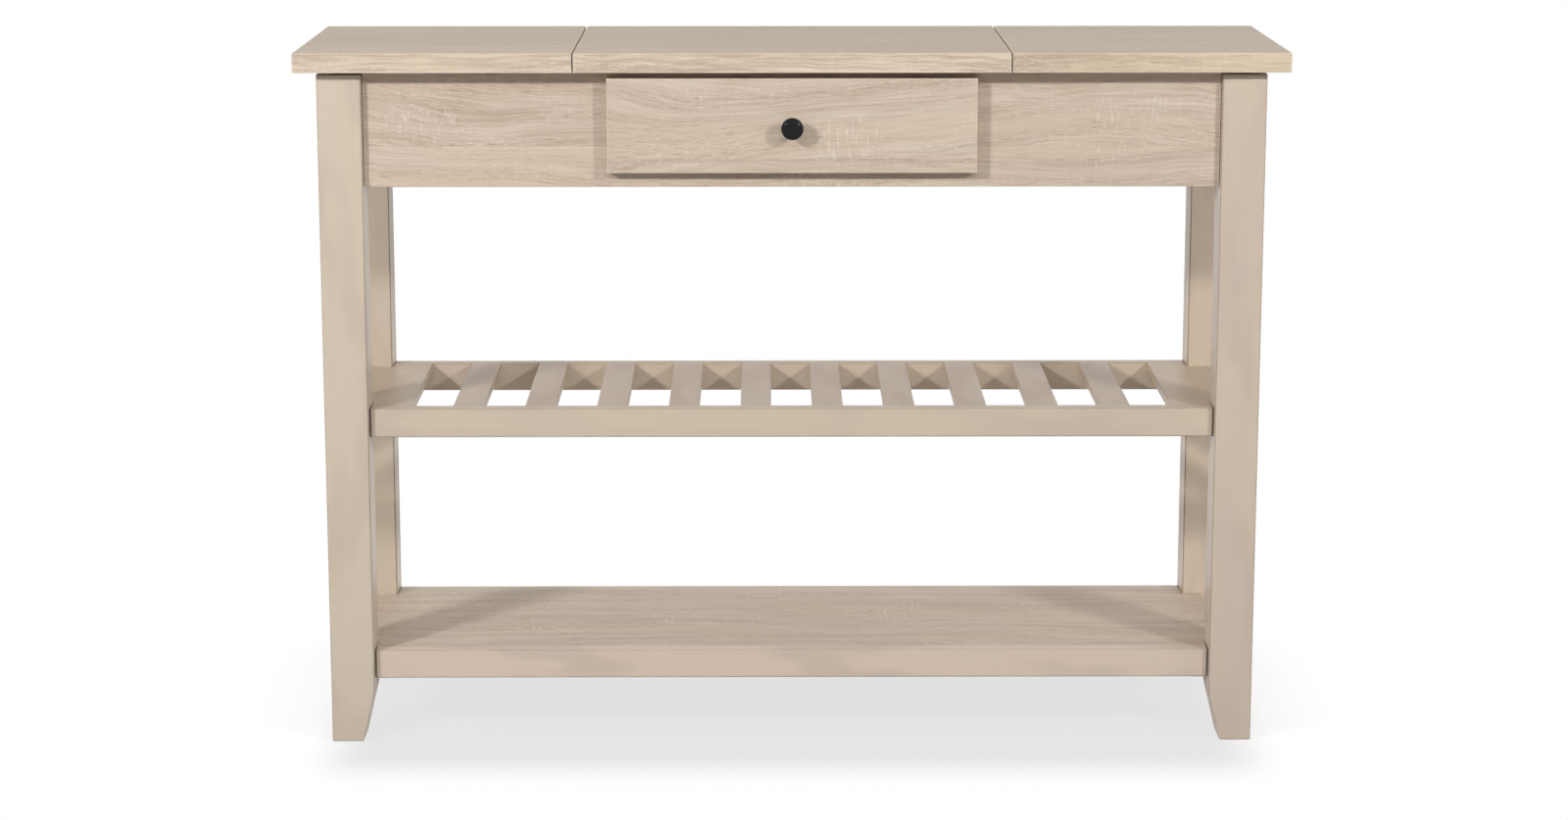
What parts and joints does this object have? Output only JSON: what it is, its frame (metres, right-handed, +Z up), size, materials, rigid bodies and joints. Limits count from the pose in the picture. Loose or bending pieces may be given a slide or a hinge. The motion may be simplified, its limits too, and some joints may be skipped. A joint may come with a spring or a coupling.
{
  "type": "dining server",
  "caption": "Narrow dining server with a seamed top, an apron drawer, a slatted bottle shelf and a solid lower shelf on square legs with tapered feet.",
  "frame": {"origin": "on the floor under the middle of the top", "axes": "+X to the right seen from the front, -Y out of the front that has the drawer, +Z up"},
  "size_m": [1.27, 0.393, 0.914],
  "materials": {
    "oak_board": "bleached oak grain foil, satin",
    "beige_finish": "smooth beige lacquer, satin",
    "bare_wood": "clear lacquer on pale softwood",
    "hardboard": "foiled hardboard",
    "dowel_wood": "fluted beech",
    "runner_enamel": "white epoxy powder coat",
    "nylon": "moulded nylon",
    "glide_plastic": "moulded nylon",
    "bumper_rubber": "translucent silicone",
    "black_finish": "black, semi-gloss",
    "zinc_steel": "bright zinc plate"
  },
  "bodies": {
    "frame": {"angle_brackets": "zinc_steel", "back_apron": "oak_board", "back_left_leg": "beige_finish", "back_right_leg": "beige_finish", "batten_screws": "zinc_steel", "bottle_shelf_back_rail": "beige_finish", "bottle_shelf_front_rail": "beige_finish", "bottle_shelf_left_board": "beige_finish", "bottle_shelf_right_board": "beige_finish", "bottle_slats": "beige_finish", "cabinet_roller_rivets": "zinc_steel", "cabinet_runner_screws": "zinc_steel", "corner_braces": "zinc_steel", "foot_glides": "glide_plastic", "frame_screws": "zinc_steel", "front_apron": "oak_board", "front_left_leg": "beige_finish", "front_right_leg": "beige_finish", "hanger_bolts": "zinc_steel", "hanger_nuts": "zinc_steel", "joint_dowels": "dowel_wood", "left_apron": "oak_board", "left_cabinet_runner": "runner_enamel", "left_drawer_partition": "bare_wood", "left_seam_batten": "bare_wood", "lower_shelf_back_rail": "beige_finish", "lower_shelf_board": "oak_board", "lower_shelf_front_rail": "beige_finish", "panel_dowels": "dowel_wood", "right_apron": "oak_board", "right_cabinet_runner": "runner_enamel", "right_drawer_partition": "bare_wood", "right_seam_batten": "bare_wood", "shelf_end_rails": "beige_finish", "top_centre_edge_bands": "oak_board", "top_centre_panel": "oak_board", "top_left_edge_bands": "oak_board", "top_left_panel": "oak_board", "top_right_edge_bands": "oak_board", "top_right_panel": "oak_board"},
    "drawer": {"drawer_front": "oak_board", "drawer_box_front": "bare_wood", "drawer_left_side": "bare_wood", "drawer_right_side": "bare_wood", "drawer_back": "bare_wood", "drawer_bottom": "hardboard", "drawer_box_screws": "zinc_steel", "drawer_front_screws": "zinc_steel", "drawer_bumpers": "bumper_rubber", "knob": "black_finish", "knob_screw": "zinc_steel", "left_drawer_runner": "runner_enamel", "right_drawer_runner": "runner_enamel", "drawer_roller_rivets": "zinc_steel", "drawer_runner_screws": "zinc_steel"},
    "left_cabinet_wheel": {"left_cabinet_roller": "nylon"},
    "right_cabinet_wheel": {"right_cabinet_roller": "nylon"},
    "left_drawer_wheel": {"left_drawer_roller": "nylon"},
    "right_drawer_wheel": {"right_drawer_roller": "nylon"}
  },
  "joints": [
    {"name": "drawer_slide", "type": "slide", "parent": "frame", "child": "drawer", "axis": [0, -1, 0], "range_m": [0, 0.19]},
    {"name": "left_cabinet_wheel_turn", "type": "hinge", "parent": "frame", "child": "left_cabinet_wheel", "pos_m": [-0.2191, -0.1285, 0.7838], "axis": [1, 0, 0], "range_deg": [0, 1361]},
    {"name": "left_drawer_wheel_turn", "type": "hinge", "parent": "drawer", "child": "left_drawer_wheel", "pos_m": [-0.2191, 0.0795, 0.783], "axis": [1, 0, 0], "range_deg": [0, 1361]},
    {"name": "right_cabinet_wheel_turn", "type": "hinge", "parent": "frame", "child": "right_cabinet_wheel", "pos_m": [0.2191, -0.1285, 0.7838], "axis": [1, 0, 0], "range_deg": [0, 1361]},
    {"name": "right_drawer_wheel_turn", "type": "hinge", "parent": "drawer", "child": "right_drawer_wheel", "pos_m": [0.2191, 0.0795, 0.783], "axis": [1, 0, 0], "range_deg": [0, 1361]}
  ],
  "couplings": [
    {"joint": "left_cabinet_wheel_turn", "follows": "drawer_slide", "rad_per_m": 125},
    {"joint": "left_drawer_wheel_turn", "follows": "drawer_slide", "rad_per_m": 125},
    {"joint": "right_cabinet_wheel_turn", "follows": "drawer_slide", "rad_per_m": 125},
    {"joint": "right_drawer_wheel_turn", "follows": "drawer_slide", "rad_per_m": 125}
  ]
}
